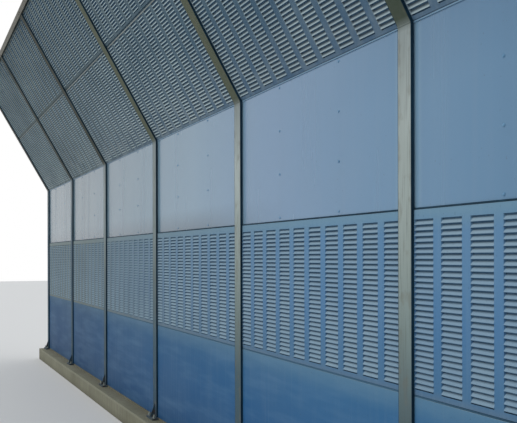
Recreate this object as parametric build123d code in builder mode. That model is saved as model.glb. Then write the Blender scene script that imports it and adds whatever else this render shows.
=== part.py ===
from build123d import *
import os
from math import cos, radians, sin, tan

# Roadside noise barrier: six bays between steel H posts that are kneed over the road.
# From the foot up, each bay holds a plain panel, a louvred panel, a tinted clear sheet
# and, on the leaning upper part, two louvred panels under a lipped channel rail.
# X runs along the barrier, -Y faces the road and +Z is up.
# The origin is the middle of the underside of the concrete plinth. All sizes are in mm.

# The row of bays
bay_count = 6
bay_length = 2500.0
lean = 30.0

# Posts: an H section of 125 x 125 x 6.5 x 9 on a welded base plate with two gussets
post_depth = 125.0
post_width = 125.0
web_thickness = 6.5
flange_thickness = 9.0
base_plate_side = 250.0
base_plate_thickness = 20.0
gusset_thickness = 8.0
gusset_height = 150.0
gusset_inset = 8.0

# Concrete plinth, with a raised bed under the panels between the base plates
plinth_height = 200.0
plinth_margin = 85.0
plinth_end_margin = 25.0
bed_margin = 10.0

# Panels: cassettes that drop between the flanges, with rubber before, behind and between
panel_height = 992.0
tilted_panel_height = 1100.0
joint_height = 8.0
seal_gap = 8.5
web_clearance = 6.75
fold_chamfer = 3.0
seat = 0.3

# Louvres: rows of pressed hoods in columns, with flat strips of the face sheet between.
# The rows start and end with an open slot, above a foot margin and under a head margin.
louvre_length = 175.0
strip_width = 68.0
hood_height = 22.0
slot_height = 8.0
hood_depth = 14.0
face_sheet = 2.0
least_end_margin = 55.0
foot_margin = 31.0
least_head_margin = 50.0
tilted_foot_margin = 25.0
least_tilted_head_margin = 15.0

# Clear sheet in a channel frame, held between the frame's front lip and two folded uprights
sheet_thickness = 8.0
sheet_bite = 5.0
lip_depth = 6.0
stile_width = 48.0
upright_inset = 795.0
upright_width = 40.0
upright_depth = 30.0
upright_wall = 3.0

# Wedge that closes the back of the knee, and rubber along the post flanges
closer_inset = 12.0
seal_overlap = 25.0
seal_edge = 3.0

# Top rail: a lipped channel with its open side down on the post ends
rail_height = 60.0
rail_overhang = 7.5
rail_lip = 20.0
rail_wall = 3.0
rail_gap = 2.0

# Places that follow from the sizes above
panel_thickness = post_depth - 2 * flange_thickness - 2 * seal_gap
panel_length = bay_length - web_thickness - 2 * web_clearance
face_y = -panel_thickness / 2
foot_z = plinth_height + base_plate_thickness
row_length = bay_count * bay_length
post_places = [i * bay_length - row_length / 2 for i in range(bay_count + 1)]
bay_places = [x + bay_length / 2 for x in post_places[:-1]]

middle_z = foot_z + panel_height + joint_height
sheet_z = middle_z + panel_height
sheet_frame_height = panel_height + 2 * joint_height
knee_z = sheet_z + sheet_frame_height
upper_run = tilted_panel_height + joint_height
rail_run = 2 * upper_run

# The leaning part rises along up_slope, and in_slope points from its face to its back
up_slope = Vector(0, -sin(radians(lean)), cos(radians(lean)))
in_slope = Vector(0, cos(radians(lean)), sin(radians(lean)))
knee_axis_z = knee_z - face_y * tan(radians(lean / 2))


def upright_face(z):
    """Plane on a panel's road face: local x along the barrier, local y up the panel."""
    return Plane(origin=(0, face_y, z), x_dir=(1, 0, 0), z_dir=(0, -1, 0))


def tilted_face(run):
    """The same plane on the leaning part, at a run up the slope from the knee."""
    corner = Vector(0, face_y, knee_z) + up_slope * run
    return Plane(origin=corner, x_dir=(1, 0, 0), z_dir=-in_slope)


def post_axis():
    """Centre line of a post, from its base plate round the knee to its upper end."""
    top = Vector(0, face_y, knee_z) + up_slope * rail_run - in_slope * face_y
    with BuildLine() as axis:
        Polyline((0, 0, foot_z), (0, 0, knee_axis_z), (0, top.Y, top.Z))
    return axis.line


def export_copies(part, places, name):
    """Write a numbered copy of one piece at each place along the row."""
    for number, x in enumerate(places, start=1):
        copy = part.moved(Location((x, 0, 0)))
        copy.label = f"{name}_{number}"
        export_step(copy, f"parts/{copy.label}.step")


def build_post():
    """H section with a mitred knee, a base plate and a gusset on each flange."""
    gusset_reach = (base_plate_side - post_depth) / 2 - gusset_inset
    with BuildPart() as post:
        with BuildSketch(Plane.XY.offset(foot_z)):
            Rectangle(web_thickness, post_depth)
            with GridLocations(0, post_depth - flange_thickness, 1, 2):
                Rectangle(post_width, flange_thickness)
        sweep(path=post_axis(), transition=Transition.RIGHT)
        with BuildSketch(Plane.XY.offset(plinth_height)):
            Rectangle(base_plate_side, base_plate_side)
        extrude(amount=base_plate_thickness)
        for side in (-1, 1):
            with BuildSketch(Plane.YZ):
                with BuildLine():
                    Polyline(
                        (side * post_depth / 2, foot_z),
                        (side * (post_depth / 2 + gusset_reach), foot_z),
                        (side * post_depth / 2, foot_z + gusset_height),
                        close=True,
                    )
                make_face()
            extrude(amount=gusset_thickness / 2, both=True)
    return post.part


def build_plain_panel(face, height):
    """Plain cassette with folded long edges on its road face."""
    with BuildPart() as panel:
        with BuildSketch(face):
            Rectangle(panel_length, height, align=(Align.CENTER, Align.MIN))
        extrude(amount=-panel_thickness)
        front = panel.faces().filter_by(lambda f: abs(f.normal_at().dot(face.z_dir) - 1) < 1e-6)
        chamfer(front.edges().filter_by(Axis.X), length=fold_chamfer)
    return panel.part


def build_louvred_panel(face, height, field_foot, head_margin):
    """Cassette with rows of hoods showing through columns of windows in its face sheet."""
    row_pitch = hood_height + slot_height
    column_pitch = louvre_length + strip_width
    rows = int((height - field_foot - head_margin - slot_height) // row_pitch)
    columns = 1 + int((panel_length - 2 * least_end_margin - louvre_length) // column_pitch)
    field_length = (columns - 1) * column_pitch + louvre_length
    field_height = rows * row_pitch + slot_height
    lip = -face_sheet - seat
    back = lip - hood_depth
    # Section across the hoods: local x out of the face, local y up the panel
    field_end = face.from_local_coords(Vector(field_length / 2, field_foot, 0))
    across = Plane(origin=field_end, x_dir=face.z_dir, z_dir=(-1, 0, 0))
    outline = [(-face_sheet, field_height), (-face_sheet, 0), (back, 0)]
    for row in range(rows):
        foot = row * row_pitch
        outline += [(back, foot + slot_height), (lip, foot + slot_height), (back, foot + row_pitch)]
    outline.append((back, field_height))
    with BuildPart() as panel:
        with BuildSketch(face):
            Rectangle(panel_length, height, align=(Align.CENTER, Align.MIN))
        extrude(amount=-panel_thickness)
        front = panel.faces().filter_by(lambda f: abs(f.normal_at().dot(face.z_dir) - 1) < 1e-6)
        chamfer(front.edges().filter_by(Axis.X), length=fold_chamfer)
        with BuildSketch(across):
            with BuildLine():
                Polyline(*outline, close=True)
            make_face()
        extrude(amount=field_length, mode=Mode.SUBTRACT)
        with BuildSketch(face):
            with Locations((0, field_foot + field_height / 2)):
                with GridLocations(column_pitch, 0, columns, 1):
                    Rectangle(louvre_length, field_height)
        extrude(amount=-face_sheet, mode=Mode.SUBTRACT)
    return panel.part


def build_clear_sheet():
    """Clear sheet that stands in the frame, behind its front lip."""
    sheet_length = panel_length - 2 * stile_width + 2 * sheet_bite - 2 * seat
    sheet_height = sheet_frame_height - 2 * joint_height + 2 * sheet_bite - 2 * seat
    with BuildPart() as sheet:
        with BuildSketch(upright_face(sheet_z).offset(-lip_depth - seat)):
            with Locations((0, sheet_frame_height / 2)):
                Rectangle(sheet_length, sheet_height)
        extrude(amount=-sheet_thickness)
    return sheet.part


def build_sheet_frames():
    """Channel frames round the clear sheets, thin above and below, wider at the posts."""
    opening_length = panel_length - 2 * stile_width
    opening_height = sheet_frame_height - 2 * joint_height
    inside_height = opening_height + 2 * sheet_bite
    upright_spacing = bay_length - 2 * upright_inset
    upright_y = face_y + lip_depth + sheet_thickness + 2 * seat
    face = upright_face(sheet_z)
    with BuildPart() as frame:
        with BuildSketch(face):
            with Locations((0, sheet_frame_height / 2)):
                Rectangle(panel_length, sheet_frame_height)
                Rectangle(opening_length, opening_height, mode=Mode.SUBTRACT)
        extrude(amount=-panel_thickness)
        with BuildSketch(face.offset(-lip_depth)):
            with Locations((0, sheet_frame_height / 2)):
                Rectangle(opening_length + 2 * sheet_bite, inside_height)
        extrude(amount=lip_depth - panel_thickness, mode=Mode.SUBTRACT)
        # The uprights stand between the frame's foot and head, their open side to the back
        with BuildSketch(Plane.XY.offset(sheet_z + joint_height - sheet_bite)):
            with Locations((0, upright_y)):
                with GridLocations(upright_spacing, 0, 2, 1):
                    Rectangle(upright_width, upright_depth, align=(Align.CENTER, Align.MIN))
            with Locations((0, upright_y + upright_wall)):
                with GridLocations(upright_spacing, 0, 2, 1):
                    Rectangle(
                        upright_width - 2 * upright_wall,
                        upright_depth,
                        align=(Align.CENTER, Align.MIN),
                        mode=Mode.SUBTRACT,
                    )
        extrude(amount=inside_height)
    with BuildPart() as sheet_frames:
        with Locations(*[(x, 0, 0) for x in bay_places]):
            add(frame.part)
    sheet_frames.part.label = "sheet_frames"
    export_step(sheet_frames.part, "parts/sheet_frames.step")


def build_knee_closers():
    """Wedges that close the back of the knee between the sheet frames and the leaning panels."""
    near = closer_inset
    far = panel_thickness
    rise = seat
    with BuildPart() as knee_closers:
        for x in bay_places:
            with BuildSketch(Plane.YZ.offset(x)):
                with BuildLine():
                    Polyline(
                        (face_y + near, knee_z + rise),
                        (face_y + far, knee_z + rise),
                        (face_y + far * in_slope.Y, knee_z + far * in_slope.Z - rise),
                        (face_y + near * in_slope.Y, knee_z + near * in_slope.Z - rise),
                        close=True,
                    )
                make_face()
            extrude(amount=panel_length / 2, both=True)
    knee_closers.part.label = "knee_closers"
    export_step(knee_closers.part, "parts/knee_closers.step")


def build_post_seals():
    """Rubber along both flanges at each panel end, lapped round the road-side flange edge."""
    inner = post_depth / 2 - flange_thickness - seat
    outer = panel_thickness / 2 + seat
    edge = post_width / 2
    seals = {}
    for side in (-1, 1):
        with BuildPart() as pair:
            with BuildSketch(Plane.XY.offset(foot_z)):
                with BuildLine():
                    Polyline(
                        (side * (edge - seal_overlap), -inner),
                        (side * (edge + seat), -inner),
                        (side * (edge + seat), -post_depth / 2),
                        (side * (edge + seat + seal_edge), -post_depth / 2),
                        (side * (edge + seat + seal_edge), -outer),
                        (side * (edge - seal_overlap), -outer),
                        close=True,
                    )
                make_face()
                with Locations((side * (edge - seal_overlap / 2), (inner + outer) / 2)):
                    Rectangle(seal_overlap, inner - outer)
            sweep(path=post_axis(), transition=Transition.RIGHT)
        seals[side] = pair.part
    with BuildPart() as post_seals:
        with Locations(*[(x, 0, 0) for x in post_places[:-1]]):
            add(seals[1])
        with Locations(*[(x, 0, 0) for x in post_places[1:]]):
            add(seals[-1])
    post_seals.part.label = "post_seals"
    export_step(post_seals.part, "parts/post_seals.step")


def build_joint_gaskets():
    """Rubber strips between stacked panels and under the top rail."""
    beds = [
        upright_face(foot_z + panel_height),
        tilted_face(tilted_panel_height),
        tilted_face(upper_run + tilted_panel_height),
    ]
    with BuildPart() as strips:
        for bed in beds:
            with BuildSketch(bed):
                with Locations((0, joint_height / 2)):
                    Rectangle(panel_length, joint_height - 2 * seat)
            extrude(amount=-panel_thickness)
    with BuildPart() as joint_gaskets:
        with Locations(*[(x, 0, 0) for x in bay_places]):
            add(strips.part)
    joint_gaskets.part.label = "joint_gaskets"
    export_step(joint_gaskets.part, "parts/joint_gaskets.step")


def build_top_rails():
    """One length of lipped channel over each bay, butted at the posts."""
    half = post_depth / 2 + rail_overhang
    inside = half - rail_wall
    mouth = half - rail_lip
    end = post_width / 2
    with BuildPart() as top_rails:
        for i in range(bay_count):
            start = post_places[i] + (rail_gap / 2 if i else -end)
            stop = post_places[i + 1] + (end if i == bay_count - 1 else -rail_gap / 2)
            base = Vector(start, face_y, knee_z) + up_slope * rail_run - in_slope * face_y
            # Section across the rail: local x towards the back, local y up the slope
            with BuildSketch(Plane(origin=base, x_dir=in_slope, z_dir=(1, 0, 0))):
                with BuildLine():
                    Polyline(
                        (-mouth, seat),
                        (-half, seat),
                        (-half, rail_height),
                        (half, rail_height),
                        (half, seat),
                        (mouth, seat),
                        (mouth, seat + rail_wall),
                        (inside, seat + rail_wall),
                        (inside, rail_height - rail_wall),
                        (-inside, rail_height - rail_wall),
                        (-inside, seat + rail_wall),
                        (-mouth, seat + rail_wall),
                        close=True,
                    )
                make_face()
            extrude(amount=stop - start)
    top_rails.part.label = "top_rails"
    export_step(top_rails.part, "parts/top_rails.step")


def build_plinth():
    """Concrete beam under the row, with the raised bed that the lowest panels stand on."""
    plinth_length = row_length + base_plate_side + 2 * plinth_end_margin
    with BuildPart() as plinth:
        with BuildSketch(Plane.XY):
            Rectangle(plinth_length, base_plate_side + 2 * plinth_margin)
        extrude(amount=plinth_height)
        with BuildSketch(Plane.XY.offset(plinth_height)):
            for x in bay_places:
                with Locations((x, 0)):
                    Rectangle(bay_length - base_plate_side - 2 * seat, panel_thickness + 2 * bed_margin)
        extrude(amount=base_plate_thickness)
    plinth.part.label = "plinth"
    export_step(plinth.part, "parts/plinth.step")


os.makedirs("parts", exist_ok=True)

build_plinth()
export_copies(build_post(), post_places, "post")
export_copies(build_plain_panel(upright_face(foot_z), panel_height), bay_places, "foot_panel")
middle_panel = build_louvred_panel(
    upright_face(middle_z), panel_height, foot_margin, least_head_margin
)
export_copies(middle_panel, bay_places, "louvred_panel")
export_copies(build_clear_sheet(), bay_places, "clear_sheet")
for name, run in (("tilted_panel", seat), ("crest_panel", upper_run)):
    panel = build_louvred_panel(
        tilted_face(run), tilted_panel_height, tilted_foot_margin, least_tilted_head_margin
    )
    export_copies(panel, bay_places, name)
build_sheet_frames()
build_knee_closers()
build_post_seals()
build_joint_gaskets()
build_top_rails()
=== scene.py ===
from math import cos, radians, sin

import bpy
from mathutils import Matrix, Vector


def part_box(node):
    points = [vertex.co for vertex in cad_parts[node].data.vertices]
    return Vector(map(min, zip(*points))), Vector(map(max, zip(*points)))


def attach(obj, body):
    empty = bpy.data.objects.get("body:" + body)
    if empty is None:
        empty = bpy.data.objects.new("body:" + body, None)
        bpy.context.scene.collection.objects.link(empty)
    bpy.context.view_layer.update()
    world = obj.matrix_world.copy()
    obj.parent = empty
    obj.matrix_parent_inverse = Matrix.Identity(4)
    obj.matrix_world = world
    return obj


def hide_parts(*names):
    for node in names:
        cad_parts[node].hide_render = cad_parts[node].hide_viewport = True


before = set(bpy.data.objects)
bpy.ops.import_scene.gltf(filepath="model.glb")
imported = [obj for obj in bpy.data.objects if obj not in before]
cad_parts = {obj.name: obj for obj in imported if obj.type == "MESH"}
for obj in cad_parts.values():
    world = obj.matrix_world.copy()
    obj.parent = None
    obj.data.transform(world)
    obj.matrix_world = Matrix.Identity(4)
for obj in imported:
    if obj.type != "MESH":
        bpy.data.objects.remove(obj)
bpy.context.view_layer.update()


# Plinth: a concrete beam cast in a form under the whole row, with a raised bed between the
# base plates for the lowest panels. Grime has darkened it, and its front edge is rubbed pale.


def colour(red, green, blue):
    """A paint or stone colour given as 0 to 255, as the shaders take it."""
    linear = []
    for value in (red / 255, green / 255, blue / 255):
        linear.append(value / 12.92 if value <= 0.04045 else ((value + 0.055) / 1.055) ** 2.4)
    return (*linear, 1)


def node(tree, kind, inputs=(), **settings):
    """Add a shader node. Each input is given a plain value, or a socket that feeds it."""
    made = tree.nodes.new("ShaderNode" + kind)
    for key, value in settings.items():
        setattr(made, key, value)
    for key, value in dict(inputs).items():
        if isinstance(value, bpy.types.NodeSocket):
            tree.links.new(value, made.inputs[key])
        else:
            made.inputs[key].default_value = value
    return made


def new_finish(name, roughness, metallic=0):
    """Start a finish that reads the piece's own coordinates."""
    finish = bpy.data.materials.new(name)
    finish.use_nodes = True
    tree = finish.node_tree
    shader = tree.nodes["Principled BSDF"]
    shader.inputs["Roughness"].default_value = roughness
    shader.inputs["Metallic"].default_value = metallic
    place = node(tree, "TexCoord").outputs["Object"]
    return finish, tree, shader, place


def axes(tree, vector):
    """Split a place or a normal into its three parts."""
    return node(tree, "SeparateXYZ", {"Vector": vector}).outputs


def span(tree, value, low, high, start=0, stop=1):
    """Turn the range low to high of a number into start to stop, and hold it there."""
    inputs = {"Value": value, "From Min": low, "From Max": high, "To Min": start, "To Max": stop}
    return node(tree, "MapRange", inputs).outputs["Result"]


def times(tree, first, second):
    """Multiply two numbers."""
    return node(tree, "Math", {0: first, 1: second}, operation="MULTIPLY").outputs[0]


def cloud(tree, place, size, low=0.35, high=0.65, stretch=(1, 1, 1), detail=3):
    """Random patches of about one size, from 0 to 1, drawn out along an axis by its stretch."""
    drawn = node(tree, "Mapping", {"Vector": place, "Scale": [1 / part for part in stretch]})
    inputs = {"Vector": drawn.outputs["Vector"], "Scale": 1 / size, "Detail": detail}
    noise = node(tree, "TexNoise", inputs).outputs["Fac"]
    return span(tree, noise, low, high)


def blend(tree, factor, first, second):
    """Pass from the first colour to the second by a factor."""
    inputs = {0: factor, 6: first, 7: second}
    return node(tree, "Mix", inputs, data_type="RGBA").outputs[2]


def relief(tree, shader, height, distance, strength=0.6):
    """Fine relief that geometry is too coarse for."""
    inputs = {"Height": height, "Distance": distance, "Strength": strength}
    bump = node(tree, "Bump", inputs)
    tree.links.new(bump.outputs["Normal"], shader.inputs["Normal"])


def repaint(names, finish):
    """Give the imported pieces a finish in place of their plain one."""
    for name in names:
        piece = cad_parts[name]
        piece.data.materials.clear()
        piece.data.materials.append(finish)


concrete, tree, shader, place = new_finish("weathered_concrete", 0.9)
axis = axes(tree, place)
patches = cloud(tree, place, 0.5, 0.3, 0.7)
tint = blend(tree, patches, colour(108, 108, 88), colour(128, 128, 108))
streaks = cloud(tree, place, 0.05, 0.45, 0.7, stretch=(1, 1, 12))
tint = blend(tree, times(tree, streaks, 0.5), tint, colour(88, 84, 70))
grit = cloud(tree, place, 0.006, 0.3, 0.75)
tint = blend(tree, times(tree, grit, 0.35), tint, colour(84, 80, 70))
damp = span(tree, axis["Z"], 0.09, 0.0)
tint = blend(tree, times(tree, damp, 0.6), tint, colour(74, 72, 58))
near_panels = span(tree, axis["Y"], -0.19, -0.05)
tint = blend(tree, times(tree, near_panels, 0.5), tint, colour(72, 70, 56))
front_edge = times(tree, span(tree, axis["Y"], -0.196, -0.208), span(tree, axis["Z"], 0.165, 0.2))
tint = blend(tree, times(tree, front_edge, 0.8), tint, colour(134, 134, 116))
holes = node(tree, "TexVoronoi", {"Vector": place, "Scale": 45}).outputs["Distance"]
holes = times(tree, span(tree, holes, 0.16, 0.1), cloud(tree, place, 0.12, 0.52, 0.6))
tint = blend(tree, holes, tint, colour(62, 58, 48))
tree.links.new(tint, shader.inputs["Base Color"])
sunk = times(tree, holes, -1)
rough = node(tree, "Math", {0: times(tree, grit, 0.25), 1: sunk}, operation="ADD").outputs[0]
relief(tree, shader, rough, 0.004)
repaint(["plinth"], concrete)


# Posts: rolled steel H sections, cut and welded at the knee, on base plates with two gussets.
# They are shot, primed and sprayed grey; grime and painted shade darken them towards the foot.


def shade(tree, value, tones):
    """Pass through a list of colours, each reached at its own level of a number."""
    tint = tones[0][1]
    for before, after in zip(tones, tones[1:]):
        tint = blend(tree, span(tree, value, before[0], after[0]), tint, after[1])
    return tint


bays = 6
bay_length = 2.5
post_names = [f"post_{number}" for number in range(1, bays + 2)]
post_paint, tree, shader, place = new_finish("grey_post_paint", 0.45)
shader.inputs["Specular IOR Level"].default_value = 0.03
axis = axes(tree, place)
# Darker towards the foot, partly grime and partly painted shade; above the knee the lean is
# painted in shade
tint = shade(tree, axis["Z"], [
    (0.30, colour(56, 78, 92)),
    (1.00, colour(70, 94, 104)),
    (1.55, colour(124, 139, 137)),
    (1.95, colour(150, 162, 158)),
    (2.70, colour(173, 183, 180)),
    (3.18, colour(153, 163, 163)),
    (3.25, colour(70, 82, 69)),
])
# The posts further along the row are darker below the knee, partly grime and partly painted shade
upright = span(tree, axis["Z"], 3.26, 3.2)
middle_bays = span(tree, axis["X"], 2.7, 0.2, 0, 0.46)
last_bays = span(tree, axis["X"], -2.5, -5, 0, 0.55)
far_posts_darkening = node(tree, "Math", {0: middle_bays, 1: last_bays}, operation="ADD").outputs[0]
far_posts_darkening = times(tree, upright, far_posts_darkening)
far_posts_darkening = times(tree, far_posts_darkening, span(tree, axis["Z"], 3.15, 1.7, 0.6, 1.15))
tint = blend(tree, far_posts_darkening, tint, colour(36, 70, 90))
# Under the lean, the nearer posts still catch some light and the last ones none
leaning = span(tree, axis["Z"], 3.2, 3.26)
lit = times(tree, leaning, span(tree, axis["X"], 4.5, 2.8, 0, 0.35))
tint = blend(tree, lit, tint, colour(120, 122, 96))
facing = axes(tree, node(tree, "NewGeometry").outputs["Normal"])
unlit = times(tree, leaning, span(tree, axis["X"], -1, -2.4, 0, 0.85))
unlit = times(tree, unlit, span(tree, facing["Y"], 0, -0.3))
tint = blend(tree, unlit, tint, colour(24, 32, 28))
film = cloud(tree, place, 0.25, 0.35, 0.7, stretch=(1, 1, 3))
tint = blend(tree, times(tree, film, 0.3), tint, colour(104, 106, 96))
streaks = cloud(tree, place, 0.012, 0.5, 0.7, stretch=(1, 1, 25))
tint = blend(tree, times(tree, streaks, 0.35), tint, colour(88, 92, 88))
stains = cloud(tree, place, 0.07, 0.54, 0.64, stretch=(1, 1, 1.6), detail=5)
tint = blend(tree, times(tree, stains, 0.3), tint, colour(110, 106, 92))
foot = span(tree, axis["Z"], 0.42, 0.2)
chips = cloud(tree, place, 0.02, 0.52, 0.62)
rust = times(tree, times(tree, foot, chips), 0.8)
tint = blend(tree, rust, tint, colour(92, 60, 40))
tree.links.new(tint, shader.inputs["Base Color"])
dull = span(tree, film, 0, 1, 0.38, 0.62)
tree.links.new(dull, shader.inputs["Roughness"])
relief(tree, shader, cloud(tree, place, 0.003), 0.0006, 0.3)
repaint(post_names, post_paint)


def choose(piece):
    """Select one piece alone, and make it the active one."""
    bpy.ops.object.select_all(action="DESELECT")
    piece.select_set(True)
    bpy.context.view_layer.objects.active = piece


def settle(piece):
    """Leave the piece's place in its mesh, and its object at the origin, unturned."""
    choose(piece)
    bpy.ops.object.transform_apply(location=True, rotation=True, scale=True)


def pick(piece, kind, test):
    """In edit mode, select only the vertices, edges or faces whose middle passes a test."""
    bpy.ops.object.mode_set(mode="OBJECT")
    mesh = piece.data
    for group in (mesh.vertices, mesh.edges, mesh.polygons):
        group.foreach_set("select", [False] * len(group))
    if kind == "VERT":
        for vertex in mesh.vertices:
            vertex.select = test(vertex.co)
    if kind == "EDGE":
        for edge in mesh.edges:
            start, stop = (mesh.vertices[index].co for index in edge.vertices)
            edge.select = test((start + stop) / 2)
    if kind == "FACE":
        for face in mesh.polygons:
            face.select = test(face.center)
    kinds = ("VERT", "EDGE", "FACE")
    bpy.context.tool_settings.mesh_select_mode = [kind == each for each in kinds]
    bpy.ops.object.mode_set(mode="EDIT")


def repeat(piece, count, step):
    """Set out a row of copies of a mesh, joined where they meet."""
    bpy.ops.object.mode_set(mode="OBJECT")
    row = piece.modifiers.new("row", "ARRAY")
    row.count = count
    row.use_relative_offset = False
    row.use_constant_offset = True
    row.constant_offset_displace = step
    row.use_merge_vertices = True
    row.merge_threshold = 0.00002
    bpy.context.view_layer.objects.active = piece
    bpy.ops.object.modifier_apply(modifier="row")


def join(pieces, name):
    """Make one piece of several."""
    bpy.ops.object.select_all(action="DESELECT")
    for piece in pieces:
        piece.select_set(True)
    bpy.context.view_layer.objects.active = pieces[0]
    bpy.ops.object.join()
    pieces[0].name = name
    return pieces[0]


def lay_bead(middle, length, along):
    """A weld bead: a slim round bar, its rings pushed about as a welder's ripples are."""
    turns = {"X": (0, radians(90), 0), "Y": (radians(90), 0, 0), "Z": (0, 0, 0)}
    ripple = 0.006
    bpy.ops.object.select_all(action="DESELECT")
    bpy.ops.mesh.primitive_cylinder_add(
        vertices=8, radius=0.0045, depth=length, location=middle, rotation=turns[along]
    )
    bead = bpy.context.object
    settle(bead)
    side = "XYZ".index(along)
    for step in range(1, int(length / ripple)):
        bpy.ops.object.mode_set(mode="EDIT")
        bpy.ops.mesh.select_all(action="SELECT")
        cut = list(middle)
        cut[side] += step * ripple - length / 2
        normal = [0, 0, 0]
        normal[side] = 1
        bpy.ops.mesh.bisect(plane_co=cut, plane_no=normal)
    bpy.ops.mesh.select_all(action="SELECT")
    bpy.ops.transform.vertex_random(offset=0.0007, seed=5)
    bpy.ops.object.mode_set(mode="OBJECT")
    return bead


post_low, post_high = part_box("post_1")
post_x = (post_low.x + post_high.x) / 2
plate_top = 0.220
flange_y = 0.0625
knee_front_z = 3.2153
flange_weld = 0.124
gusset_half = 0.004
gusset_foot_y, gusset_foot_weld = 0.089, 0.048
gusset_side_z, gusset_side_weld = 0.292, 0.132
beads = [lay_bead((post_x, -flange_y, knee_front_z), flange_weld, "X")]
for side in (-1, 1):
    beads.append(lay_bead((post_x, side * flange_y, plate_top), flange_weld, "X"))
    for face in (post_x - gusset_half, post_x + gusset_half):
        beads.append(lay_bead((face, side * gusset_foot_y, plate_top), gusset_foot_weld, "Y"))
        beads.append(lay_bead((face, side * flange_y, gusset_side_z), gusset_side_weld, "Z"))
welds = join(beads, "weld_beads")
repeat(welds, bays + 1, (bay_length, 0, 0))
bpy.ops.object.shade_smooth()
welds.data.materials.append(post_paint)
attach(welds, "root")


# Anchor bolts: four galvanised steel studs a post, cast in the plinth and standing up through the
# base plate. Each one holds it down with a washer and a nut.

zinc, tree, shader, place = new_finish("dull_zinc", 0.5, metallic=0.55)
axis = axes(tree, place)
flakes = node(tree, "TexVoronoi", {"Vector": place, "Scale": 90}).outputs["Color"]
flakes = node(tree, "SeparateColor", {"Color": flakes}).outputs["Red"]
tint = blend(tree, flakes, colour(128, 136, 132), colour(150, 157, 153))
tint = blend(tree, span(tree, axis["Z"], 5.0, 5.1), tint, colour(88, 85, 74))
stain = cloud(tree, place, 0.3, 0.4, 0.7, stretch=(3, 1, 1))
tint = blend(tree, times(tree, stain, 0.5), tint, colour(108, 112, 100))
tree.links.new(tint, shader.inputs["Base Color"])
tree.links.new(span(tree, flakes, 0, 1, 0.42, 0.6), shader.inputs["Roughness"])
relief(tree, shader, cloud(tree, place, 0.004), 0.0004, 0.3)

bolt_reach = 0.095
washer_height = 0.003
nut_height = 0.015
stud_height = 0.018
thread_step = 0.0018
corner = Vector((post_x - bolt_reach, -bolt_reach, plate_top))
bpy.ops.object.select_all(action="DESELECT")
bpy.ops.mesh.primitive_cylinder_add(
    vertices=20, radius=0.019, depth=washer_height, location=corner
)
washer = bpy.context.object
washer.location.z += washer_height / 2
settle(washer)
pick(washer, "FACE", lambda spot: spot.z > plate_top + washer_height - 0.001)
bpy.ops.mesh.inset(thickness=0.0012, depth=0.0008)
bpy.ops.object.mode_set(mode="OBJECT")
bpy.ops.mesh.primitive_cylinder_add(vertices=6, radius=0.0165, depth=nut_height, location=corner)
nut = bpy.context.object
nut_foot = 0.004
nut.location.z += nut_foot + nut_height / 2
settle(nut)
pick(nut, "FACE", lambda spot: spot.z > plate_top + nut_foot + nut_height - 0.001)
bpy.ops.mesh.inset(thickness=0.002, depth=0.0012)
bpy.ops.mesh.inset(thickness=0.003, depth=-0.0006)
bpy.ops.object.mode_set(mode="OBJECT")
bpy.ops.mesh.primitive_cylinder_add(vertices=14, radius=0.009, depth=stud_height, location=corner)
stud = bpy.context.object
stud_foot = 0.003
stud.location.z += stud_foot + stud_height / 2
settle(stud)
pick(stud, "FACE", lambda spot: spot.z > plate_top + stud_foot + stud_height - 0.0005)
for turn in range(9):
    width = 1.1 if turn % 2 else 1 / 1.1
    bpy.ops.mesh.extrude_region_move(TRANSFORM_OT_translate={"value": (0, 0, thread_step)})
    bpy.ops.transform.resize(value=(width, width, 1))
bpy.ops.mesh.inset(thickness=0.0015, depth=0.0008)
bpy.ops.object.mode_set(mode="OBJECT")
bolts = join([washer, nut, stud], "anchor_bolts")
repeat(bolts, 2, (2 * bolt_reach, 0, 0))
repeat(bolts, 2, (0, 2 * bolt_reach, 0))
repeat(bolts, bays + 1, (bay_length, 0, 0))
bpy.ops.object.shade_smooth_by_angle(angle=radians(30))
bolts.data.materials.append(zinc)
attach(bolts, "root")


# Foot panels: cassettes folded from painted sheet steel, filled with wool and closed behind by a
# tray with stiffening beads. They drop in between the post flanges and stand on the plinth.

panel_thickness = 0.090
edge_fold = 0.003


def panel_paint(name, tones, dust_and_light, far_reflection, share, facing_low, facing_high):
    """Blue paint with painted shade by height, painted reflection along the row, dust and painted
    light facing up.
    """
    finish, tree, shader, place = new_finish(name, 0.42)
    shader.inputs["Specular IOR Level"].default_value = 0.05
    axis = axes(tree, place)
    tint = shade(tree, axis["Z"], tones)
    # Towards the far bays, a painted reflection of the road or the sky at a grazing angle
    tint = blend(tree, span(tree, axis["X"], 4, -4, 0, share), tint, far_reflection)
    haze = cloud(tree, place, 0.6, 0.3, 0.75, stretch=(1.6, 1, 1))
    tint = blend(tree, times(tree, haze, 0.14), tint, dust_and_light)
    runs = cloud(tree, place, 0.03, 0.5, 0.75, stretch=(1, 1, 18))
    tint = blend(tree, times(tree, runs, 0.1), tint, dust_and_light)
    facing = axes(tree, node(tree, "NewGeometry").outputs["Normal"])
    # Dust, and painted light, on the faces that turn up: the hoods catch the sky
    dust_and_highlight = times(tree, span(tree, facing["Z"], facing_low, facing_high), span(tree, haze, 0, 1, 0.6, 0.95))
    dust_and_highlight = times(tree, dust_and_highlight, span(tree, facing["Y"], 0.1, 0.6, 1, 0.35))
    tint = blend(tree, dust_and_highlight, tint, dust_and_light)
    specks = cloud(tree, place, 0.012, 0.66, 0.74)
    tint = blend(tree, times(tree, specks, 0.35), tint, colour(52, 62, 66))
    tree.links.new(span(tree, dust_and_highlight, 0, 1, 0.5, 0.8), shader.inputs["Roughness"])
    relief(tree, shader, cloud(tree, place, 0.12, stretch=(2, 1, 1)), 0.002, 0.15)
    tree.links.new(tint, shader.inputs["Base Color"])
    return finish


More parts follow.
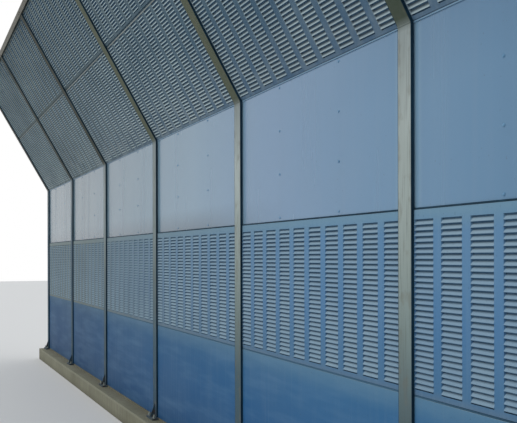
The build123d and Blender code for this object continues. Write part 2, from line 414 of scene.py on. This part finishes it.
def recess_shade(finish, face, inward, shallow, deep, share):
    """Darken a panel's paint by how deep it lies behind the face: painted shade in the recesses.
    """
    tree = finish.node_tree
    shader = tree.nodes["Principled BSDF"]
    place = node(tree, "TexCoord").outputs["Object"]
    behind = node(tree, "VectorMath", {0: place, 1: face}, operation="SUBTRACT").outputs["Vector"]
    depth = node(tree, "VectorMath", {0: behind, 1: inward}, operation="DOT_PRODUCT")
    tint = shader.inputs["Base Color"].links[0].from_socket
    # Painted shade, deepest behind the face
    film = times(tree, span(tree, depth.outputs["Value"], shallow, deep), share)
    tint = blend(tree, film, tint, colour(26, 54, 78))
    tree.links.new(tint, shader.inputs["Base Color"])


def close_cassette(panel, height):
    """Fold the edges of a front sheet back to the panel's depth, and close it with a tray."""
    bead_levels = [height * part / 4 for part in (1, 2, 3)]
    bead_half = 0.045
    bead_end = panel_half - 0.1

    def on_back(spot):
        return spot.y > panel_thickness - 1e-4

    def open_edge():
        bpy.ops.object.mode_set(mode="EDIT")
        bpy.context.tool_settings.mesh_select_mode = (False, True, False)
        bpy.ops.mesh.select_all(action="DESELECT")
        bpy.ops.mesh.select_non_manifold(extend=False, use_wire=False, use_multi_face=False,
                                         use_non_contiguous=False, use_verts=False)

    open_edge()
    bpy.ops.mesh.extrude_edges_move(TRANSFORM_OT_translate={"value": (0, edge_fold, 0)})
    sides = [
        (0, -1, edge_fold - panel_half),
        (0, 1, panel_half - edge_fold),
        (2, -1, edge_fold),
        (2, 1, height - edge_fold),
    ]
    for side, way, edge in sides:
        pick(panel, "VERT", lambda spot: abs(spot.y - edge_fold) < 1e-5
             and abs(spot[side] - edge) < 1e-4)
        move = [0, 0, 0]
        move[side] = way * edge_fold
        bpy.ops.transform.translate(value=move)
    open_edge()
    move = (0, panel_thickness - edge_fold, 0)
    bpy.ops.mesh.extrude_edges_move(TRANSFORM_OT_translate={"value": move})
    bpy.ops.mesh.edge_face_add()
    for level in bead_levels:
        for cut in (level - bead_half, level + bead_half):
            pick(panel, "FACE", on_back)
            bpy.ops.mesh.bisect(plane_co=(0, 0, cut), plane_no=(0, 0, 1))
    for cut in (-bead_end, bead_end):
        pick(panel, "FACE", on_back)
        bpy.ops.mesh.bisect(plane_co=(cut, 0, 0), plane_no=(1, 0, 0))
    for level in bead_levels:
        pick(panel, "FACE", lambda spot: on_back(spot) and abs(spot.z - level) < 0.02
             and abs(spot.x) < bead_end)
        bpy.ops.mesh.inset(thickness=0.012)
        bpy.ops.mesh.inset(thickness=0.01, depth=-0.007)
    bpy.ops.mesh.select_all(action="SELECT")
    bpy.ops.mesh.normals_make_consistent(inside=False)
    bpy.ops.object.mode_set(mode="OBJECT")
    bpy.ops.object.shade_smooth_by_angle(angle=radians(35))


def hang(model, name, node_name, tilt=0):
    """Set a copy of the modelled panel in the place of each packed one, and put the model away."""
    for number in range(1, bays + 1):
        low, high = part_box(f"{node_name}_{number}")
        choose(model)
        bpy.ops.object.duplicate()
        copy = bpy.context.object
        copy.name = f"{name}_{number}"
        copy.rotation_euler.x = tilt
        front = high.y - panel_thickness * cos(tilt)
        copy.location = ((low.x + high.x) / 2, front, low.z)
        settle(copy)
        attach(copy, "root")
        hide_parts(f"{node_name}_{number}")
    bpy.data.objects.remove(model)


low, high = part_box("foot_panel_1")
panel_half = (high.x - low.x) / 2
height = high.z - low.z
# Darker towards the foot, partly grime and partly painted shade
foot_tones = [
    (low.z, colour(28, 78, 124)),
    (low.z + 0.55, colour(42, 94, 140)),
    (low.z + 0.85, colour(52, 102, 144)),
    (high.z, colour(84, 124, 152)),
]
foot_blue = panel_paint(
    "foot_panel_blue", foot_tones, dust_and_light=colour(116, 138, 152), far_reflection=colour(8, 44, 78), share=0.6,
    facing_low=0.1, facing_high=0.7
)
tree = foot_blue.node_tree
place = node(tree, "TexCoord").outputs["Object"]
paint = tree.nodes["Principled BSDF"].inputs["Base Color"]
bloom = cloud(tree, place, 0.08, 0.45, 0.8, stretch=(8, 1, 1))
tint = blend(tree, times(tree, bloom, 0.2), paint.links[0].from_socket, colour(112, 146, 172))
tree.links.new(tint, paint)
bpy.ops.object.select_all(action="DESELECT")
bpy.ops.mesh.primitive_plane_add(
    size=2, location=(0, 0, height / 2), rotation=(radians(90), 0, 0)
)
foot_panel = bpy.context.object
foot_panel.scale = (panel_half - edge_fold, height / 2 - edge_fold, 1)
settle(foot_panel)
close_cassette(foot_panel, height)
foot_panel.data.materials.append(foot_blue)
hang(foot_panel, "foot_cassette", "foot_panel")


# Louvred panels: the same cassette, its front sheet slit and pressed into rows of hoods between
# flat strips. Each hood has a rolled lip with an open slot under it, dark with the wool behind;
# the lip's underside is painted in shade.

column_pitch = 0.243
row_pitch = 0.030
columns = 10
slot_height = 0.007
hood_depth = 0.0140
lip_level = 0.0074
slot_wool_and_shade, tree, shader, place = new_finish("slot_wool_and_painted_shade", 0.95)
tint = blend(tree, cloud(tree, place, 0.01), colour(62, 96, 124), colour(74, 110, 138))
tree.links.new(tint, shader.inputs["Base Color"])


def louvred_sheet(rows, foot, height):
    """One hood is pressed from a flat cell, then set out in columns and rows with flat margins."""
    first = -(columns - 1) / 2 * column_pitch
    bpy.ops.object.select_all(action="DESELECT")
    bpy.ops.mesh.primitive_plane_add(
        size=1, location=(first, 0, foot + row_pitch / 2), rotation=(radians(90), 0, 0)
    )
    panel = bpy.context.object
    panel.scale = (column_pitch, row_pitch, 1)
    settle(panel)
    # Where the flat cell is creased, how far up that line ends, and how deep it is pressed
    creases = [
        (0.0000, 0.0000, hood_depth),
        (0.0066, 0.0070, hood_depth),
        (lip_level, 0.0075, 0.0030),
        (0.0082, 0.0062, -0.0012),
        (0.0094, 0.0085, -0.0030),
        (0.0140, 0.0140, 0.0005),
        (0.0220, 0.0220, 0.0065),
        (row_pitch, row_pitch, hood_depth),
    ]
    hood_end = 0.0875
    drawn_end = 0.0866
    full_end = 0.0850
    bpy.ops.object.mode_set(mode="EDIT")
    for reach in (hood_end, drawn_end, full_end):
        for side in (-1, 1):
            bpy.ops.mesh.select_all(action="SELECT")
            bpy.ops.mesh.bisect(plane_co=(first + side * reach, 0, 0), plane_no=(1, 0, 0))
    for flat, _, _ in creases[1:-1]:
        bpy.ops.mesh.select_all(action="SELECT")
        bpy.ops.mesh.bisect(plane_co=(0, 0, foot + flat), plane_no=(0, 0, 1))
    for flat, risen, depth in creases:
        for reach, share in ((full_end, 1), (drawn_end, 0.6)):
            pick(panel, "VERT", lambda spot: abs(spot.z - foot - flat) < 1e-4
                 and abs(abs(spot.x - first) - reach) < 1e-4)
            bpy.ops.transform.translate(value=(0, depth * share, (risen - flat) * share))
    bpy.ops.object.mode_set(mode="OBJECT")
    # The first finish, left open here, is the panel's paint; the second is the wool seen in the
    # slots, with painted shade under each lip
    panel.data.materials.append(None)
    panel.data.materials.append(slot_wool_and_shade)
    for face in panel.data.polygons:
        if face.center.z - foot < lip_level and abs(face.center.x - first) < full_end:
            face.material_index = 1
    repeat(panel, columns, (column_pitch, 0, 0))
    repeat(panel, rows, (0, 0, row_pitch))
    # Close the pressed field below and above, and add the flat margins round it
    top = foot + rows * row_pitch
    pick(panel, "EDGE", lambda spot: abs(spot.z - top) < 1e-4)
    bpy.ops.mesh.extrude_region_move(TRANSFORM_OT_translate={"value": (0, 0, slot_height)})
    top += slot_height
    bpy.ops.object.mode_set(mode="OBJECT")
    for face in panel.data.polygons:
        if face.center.z > top - slot_height and face.center.y > hood_depth - 1e-4:
            face.material_index = 1
    for level, margin in ((foot, edge_fold - foot), (top, height - top - edge_fold)):
        pick(panel, "EDGE", lambda spot: abs(spot.z - level) < 1e-4)
        bpy.ops.mesh.extrude_region_move()
        bpy.ops.transform.resize(value=(1, 0, 1), center_override=(0, 0, 0))
        bpy.ops.mesh.extrude_region_move(TRANSFORM_OT_translate={"value": (0, 0, margin)})
    bpy.ops.mesh.select_all(action="SELECT")
    bpy.ops.mesh.remove_doubles(threshold=0.00002)
    reach = columns / 2 * column_pitch
    for way in (-1, 1):
        pick(panel, "EDGE", lambda spot: abs(spot.x - way * reach) < 1e-4)
        move = (way * (panel_half - edge_fold - reach), 0, 0)
        bpy.ops.mesh.extrude_region_move(TRANSFORM_OT_translate={"value": move})
    edges = [
        lambda spot: spot.x < -reach,
        lambda spot: spot.x > reach,
        lambda spot: spot.z < foot - 1e-4 and abs(spot.x) < reach,
        lambda spot: spot.z > top + 1e-4 and abs(spot.x) < reach,
    ]
    for test in edges:
        pick(panel, "FACE", test)
        bpy.ops.mesh.dissolve_faces(use_verts=True)
    bpy.ops.object.mode_set(mode="OBJECT")
    for face in panel.data.polygons:
        if face.center.y < 1e-4 and face.area > 0.01:
            face.material_index = 0
    close_cassette(panel, height)
    return panel


low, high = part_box("louvred_panel_1")
height = high.z - low.z
# Darker towards the foot, partly grime and partly painted shade
louvred_tones = [
    (low.z, colour(84, 112, 138)),
    (low.z + 0.05, colour(68, 110, 146)),
    (low.z + 0.40, colour(75, 119, 160)),
    (low.z + 0.62, colour(88, 129, 166)),
    (high.z - 0.12, colour(90, 131, 168)),
    (high.z - 0.02, colour(106, 142, 166)),
]
louvred_blue = panel_paint(
    "louvred_panel_blue", louvred_tones, dust_and_light=colour(138, 160, 173), far_reflection=colour(110, 114, 100),
    share=0.75, facing_low=0.15, facing_high=0.55
)
# Painted shade in the recesses behind the upright hoods
recess_shade(louvred_blue, (0, low.y, 0), (0, 1, 0), shallow=0.009, deep=0.015, share=0.5)
louvred = louvred_sheet(rows=30, foot=0.031, height=height)
louvred.data.materials[0] = louvred_blue
hang(louvred, "louvred_cassette", "louvred_panel")


# Rubber: solid black strips laid under each stacked panel, and lips pressed in along the post
# flanges, which take up the play in the channels and stop rattle. Dust has faded the lowest.

rubber, tree, shader, place = new_finish("black_rubber", 0.75)
shader.inputs["Specular IOR Level"].default_value = 0.15
worn = cloud(tree, place, 0.08, 0.4, 0.7, stretch=(1, 1, 4))
tint = blend(tree, worn, colour(14, 42, 58), colour(28, 60, 78))
tree.links.new(tint, shader.inputs["Base Color"])
relief(tree, shader, cloud(tree, place, 0.002), 0.0004, 0.3)
repaint(["post_seals"], rubber)
dusty_rubber = rubber.copy()
dusty_rubber.name = "dusty_rubber"
tree = dusty_rubber.node_tree
place = node(tree, "TexCoord").outputs["Object"]
axis = axes(tree, place)
paint = tree.nodes["Principled BSDF"].inputs["Base Color"]
lowest = times(tree, span(tree, axis["Z"], 1.4, 1.3), span(tree, axis["X"], 6, 4.8, 0.3, 1))
tint = blend(tree, lowest, paint.links[0].from_socket, colour(62, 98, 122))
tree.links.new(tint, paint)
repaint(["joint_gaskets"], dusty_rubber)


# Clear sheets: tinted plastic panes, 8 mm thick, in painted channel frames on a rubber sill strip.
# Round-headed fixings hold each one to two folded uprights. Rain has left dirt in faint upright
# runs, and the plastic is a little milky.

pane, tree, shader, place = new_finish("tinted_pane", 0.16)
shader.inputs["IOR"].default_value = 1.5
shader.inputs["Transmission Weight"].default_value = 0.14
shader.inputs["Specular IOR Level"].default_value = 0.3
milk = cloud(tree, place, 0.9, 0.3, 0.7)
axis = axes(tree, place)
# The pane's tone along the row is painted light and reflection of the sky
tint = shade(tree, axis["X"], [
    (5.8, colour(98, 140, 174)),
    (5.0, colour(107, 147, 180)),
    (3.2, colour(115, 150, 184)),
    (1.3, colour(120, 153, 177)),
    (-0.5, colour(103, 136, 156)),
    (-4.0, colour(93, 119, 133)),
])
tint = blend(tree, times(tree, milk, 0.12), tint, colour(140, 160, 176))
shadow = times(tree, span(tree, axis["Z"], 2.85, 3.18), span(tree, axis["X"], 4.1, 5.2, 0, 0.25))
tint = blend(tree, shadow, tint, colour(60, 104, 140))
# Darker along the sill in the middle bays: painted shade
sill_shade = times(tree, span(tree, axis["Z"], 2.42, 2.23), span(tree, axis["X"], 3.5, 1.5, 0, 0.65))
tint = blend(tree, sill_shade, tint, colour(66, 88, 106))
runs = cloud(tree, place, 0.09, 0.45, 0.7, stretch=(1, 1, 22), detail=1)
tint = blend(tree, times(tree, runs, 0.06), tint, colour(150, 164, 176))
# Lighter next to each post: painted light on the pane
along = node(tree, "Math", {0: axis["X"], 1: bay_length / 2}, operation="PINGPONG").outputs[0]
post_side_light = span(tree, along, 0.14, 0.07, 0, 0.4)
tint = blend(tree, post_side_light, tint, colour(158, 188, 200))
specks = cloud(tree, place, 0.02, 0.68, 0.74)
tint = blend(tree, times(tree, specks, 0.5), tint, colour(92, 108, 124))
tree.links.new(tint, shader.inputs["Base Color"])
tree.links.new(span(tree, runs, 0, 1, 0.22, 0.28), shader.inputs["Roughness"])
repaint([f"clear_sheet_{number}" for number in range(1, bays + 1)], pane)

frame_paint, tree, shader, place = new_finish("blue_frame_paint", 0.4)
shader.inputs["Specular IOR Level"].default_value = 0.15
axis = axes(tree, place)
film = cloud(tree, place, 0.2, 0.35, 0.7, stretch=(1, 1, 3))
tint = blend(tree, film, colour(92, 130, 160), colour(108, 144, 170))
tint = blend(tree, span(tree, axis["X"], 4.5, -1, 0, 0.8), tint, colour(100, 118, 128))
# The head lip is painted lighter: painted light where the lean shades it
head = span(tree, axis["Z"], 3.190, 3.197)
tint = blend(tree, head, tint, colour(114, 146, 170))
tree.links.new(tint, shader.inputs["Base Color"])
relief(tree, shader, cloud(tree, place, 0.004), 0.0004, 0.2)
repaint(["sheet_frames"], frame_paint)


def lay_strips(name, node_name, level, height, finish, tilt=0):
    """A strip a bay along a row of joints, with rounded front edges and a grooved back."""
    depth = 0.010
    proud = 0.0015
    low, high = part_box(f"{node_name}_1")
    front = high.y - panel_thickness * cos(tilt)
    bpy.ops.object.select_all(action="DESELECT")
    middle = (0, depth / 2 - proud, level + height / 2)
    bpy.ops.mesh.primitive_cube_add(size=1, location=middle)
    strip = bpy.context.object
    strip.scale = (high.x - low.x, depth, height)
    settle(strip)
    pick(strip, "EDGE", lambda spot: spot.y < 1e-4 - proud)
    bpy.ops.mesh.bevel(offset=0.001, segments=2)
    pick(strip, "FACE", lambda spot: spot.y > depth - proud - 1e-4)
    bpy.ops.mesh.inset(thickness=0.001, depth=-0.001)
    bpy.ops.object.mode_set(mode="OBJECT")
    strip.rotation_euler.x = tilt
    strip.location = ((low.x + high.x) / 2, front, low.z)
    settle(strip)
    repeat(strip, bays, (bay_length, 0, 0))
    strip.name = name
    bpy.ops.object.shade_smooth_by_angle(angle=radians(30))
    strip.data.materials.append(finish)
    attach(strip, "root")


low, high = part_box("louvred_panel_1")
lay_strips(
    "sill_strips", "louvred_panel", level=high.z - low.z - 0.001, height=0.0095, finish=rubber,
)


def round_head(spot, radius):
    """A round-headed fixing that faces the front: a washer, and a low dome drawn up from it."""
    thickness = 0.002
    bpy.ops.object.select_all(action="DESELECT")
    bpy.ops.mesh.primitive_cylinder_add(
        vertices=14, radius=radius, depth=thickness, location=spot, rotation=(radians(90), 0, 0)
    )
    head = bpy.context.object
    settle(head)
    pick(head, "FACE", lambda middle: middle.y < spot[1] - thickness / 2 + 1e-4)
    bpy.ops.mesh.inset(thickness=0.2 * radius)
    for rise, width in ((0.15, 0.9), (0.12, 0.8), (0.06, 0.55)):
        move = (0, -rise * radius, 0)
        bpy.ops.mesh.extrude_region_move(TRANSFORM_OT_translate={"value": move})
        bpy.ops.transform.resize(value=(width, 1, width))
    bpy.ops.object.mode_set(mode="OBJECT")
    return head


low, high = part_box("clear_sheet_1")
head_radius = 0.009
upright_inset = 0.795
fixing_edge = 0.029
fixing_step = 0.3148
lowest_fixing = (post_x + upright_inset, low.y - 0.001, low.z + fixing_edge)
fixings = round_head(lowest_fixing, head_radius)
fixings.name = "sheet_fixings"
repeat(fixings, 4, (0, 0, fixing_step))
repeat(fixings, 2, (bay_length - 2 * upright_inset, 0, 0))
repeat(fixings, bays, (bay_length, 0, 0))
bpy.ops.object.shade_smooth_by_angle(angle=radians(40))
cap_paint, tree, shader, place = new_finish("pale_cap_paint", 0.5)
shader.inputs["Specular IOR Level"].default_value = 0.15
tint = blend(tree, cloud(tree, place, 0.4), colour(96, 138, 172), colour(110, 150, 180))
tree.links.new(tint, shader.inputs["Base Color"])
fixings.data.materials.append(cap_paint)
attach(fixings, "root")


# Leaning panels: two louvred cassettes a bay, pressed from the same blue sheet steel, held above
# the knee in the same post channels. A galvanised strip covers the joint between the two.

low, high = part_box("tilted_panel_1")
lean = radians(30)
height = 1.1
# The leaning paint is a darker copy of the panels' blue: painted shade, as the lean faces the
# ground
tilted_shaded_tones = [
    (low.z, colour(76, 108, 138)),
    (low.z + 0.6, colour(58, 94, 118)),
    (high.z + 1, colour(56, 82, 94)),
]
tilted_shaded_blue = panel_paint(
    "leaning_panel_shaded_blue", tilted_shaded_tones, dust_and_light=colour(190, 208, 210), far_reflection=colour(76, 82, 70),
    share=0.7, facing_low=-0.42, facing_high=0.05
)
tree = tilted_shaded_blue.node_tree
place = node(tree, "TexCoord").outputs["Object"]
axis = axes(tree, place)
paint = tree.nodes["Principled BSDF"].inputs["Base Color"]
# Paler on the hoods low on the lean, more so in the far bays
pale_low_hoods = times(tree, span(tree, axis["Z"], 3.66, 3.22), span(tree, axis["X"], 5, -2, 0.4, 0.9))
facing = axes(tree, node(tree, "NewGeometry").outputs["Normal"])
pale_low_hoods = times(tree, pale_low_hoods, span(tree, facing["Z"], -0.49, -0.3, 0.35, 1))
pale_low_hoods = times(tree, pale_low_hoods, span(tree, facing["Y"], 0.2, 0.0))
pale_low_hoods = times(tree, pale_low_hoods, cloud(tree, place, 0.14, 0.42, 0.6))
tint = blend(tree, pale_low_hoods, paint.links[0].from_socket, colour(182, 194, 194))
# The near bays of the lean are darker: painted shade
near_bay_shade = span(tree, axis["X"], 1.5, 4.5, 0.04, 0.17)
tint = blend(tree, near_bay_shade, tint, colour(28, 48, 66))
tree.links.new(tint, paint)
knee = (0, high.y - panel_thickness * cos(lean), low.z)
inward = (0, cos(lean), sin(lean))
# Painted shade in the recesses behind the leaning hoods
recess_shade(tilted_shaded_blue, knee, inward, shallow=0.0005, deep=0.008, share=0.7)
tilted = louvred_sheet(rows=35, foot=0.025, height=height)
tilted.data.materials[0] = tilted_shaded_blue
choose(tilted)
bpy.ops.object.duplicate()
crest = bpy.context.object
hang(tilted, "leaning_cassette", "tilted_panel", lean)
hang(crest, "crest_cassette", "crest_panel", lean)
lay_strips(
    "joint_strips", "tilted_panel", level=height - 0.018, height=0.010, finish=zinc,
    tilt=lean
)


# Knee closers and top rail: zinc-coated sheet, folded to a wedge behind the knee and to a lipped
# channel along the crest, which keeps rain out of the upper cassettes. Four round-headed screws
# hold the rail at each post.

repaint(["knee_closers", "top_rails"], zinc)
rail_half = 0.070
rail_foot = (0, -1.11403, 5.16161)
screw_spacing = 0.09
screw_level = 0.030
screws = []
for way in ("front", "back"):
    screw_spot = (post_x - screw_spacing / 2, -rail_half - 0.001, screw_level)
    screw = round_head(screw_spot, head_radius)
    if way == "back":
        screw.rotation_euler.z = radians(180)
        screw.location.x = 2 * post_x - screw_spacing
        settle(screw)
    screws.append(screw)
rail_screws = join(screws, "rail_screws")
rail_screws.rotation_euler.x = lean
rail_screws.location = rail_foot
settle(rail_screws)
repeat(rail_screws, 2, (screw_spacing, 0, 0))
repeat(rail_screws, bays + 1, (bay_length, 0, 0))
bpy.ops.object.shade_smooth_by_angle(angle=radians(40))
rail_screws.data.materials.append(zinc)
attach(rail_screws, "root")


# Lighting, floor and camera: a pale matt floor under a soft even sky and one broad lamp, seen from
# the front, near one end. The camera, and glossy and clear surfaces, see the sky as plain white.

bpy.ops.object.select_all(action="DESELECT")
bpy.ops.mesh.primitive_plane_add(size=120, location=(0, 0, -0.001))
floor = bpy.context.object
floor.name = "floor"
pale, _, shader, _ = new_finish("pale_floor", 0.9)
shader.inputs["Base Color"].default_value = (0.62, 0.62, 0.62, 1)
floor.data.materials.append(pale)

world = bpy.data.worlds.new("soft_sky")
bpy.context.scene.world = world
world.use_nodes = True
tree = world.node_tree
plain = tree.nodes["Background"]
plain.inputs["Color"].default_value = (0.93, 0.97, 1, 1)
plain.inputs["Strength"].default_value = 0.75
white = node(tree, "Background", {"Strength": 1})
white.inputs["Color"].default_value = (1, 1, 1, 1)
rays = node(tree, "LightPath").outputs
seen = rays["Is Camera Ray"]
for kind in ("Is Glossy Ray", "Is Transmission Ray"):
    seen = node(tree, "Math", {0: seen, 1: rays[kind]}, operation="MAXIMUM").outputs[0]
both = node(tree, "MixShader", {0: seen})
tree.links.new(plain.outputs[0], both.inputs[1])
tree.links.new(white.outputs[0], both.inputs[2])
tree.links.new(both.outputs[0], tree.nodes["World Output"].inputs["Surface"])

bpy.ops.object.light_add(type="SUN", rotation=(radians(40), 0, radians(-20)))
sun = bpy.context.object
sun.data.energy = 1.2
sun.data.angle = radians(40)

bpy.ops.object.camera_add(location=(8.9043, -2.5482, 1.9671))
camera = bpy.context.object
camera.rotation_euler = (radians(90), radians(0.143), radians(67.3586))
camera.data.sensor_width = 36
camera.data.lens = 58.66
camera.data.shift_y = 0.0855
camera.data.clip_start = 0.05
camera.data.clip_end = 300
bpy.context.scene.camera = camera
bpy.context.scene.view_settings.view_transform = "Standard"
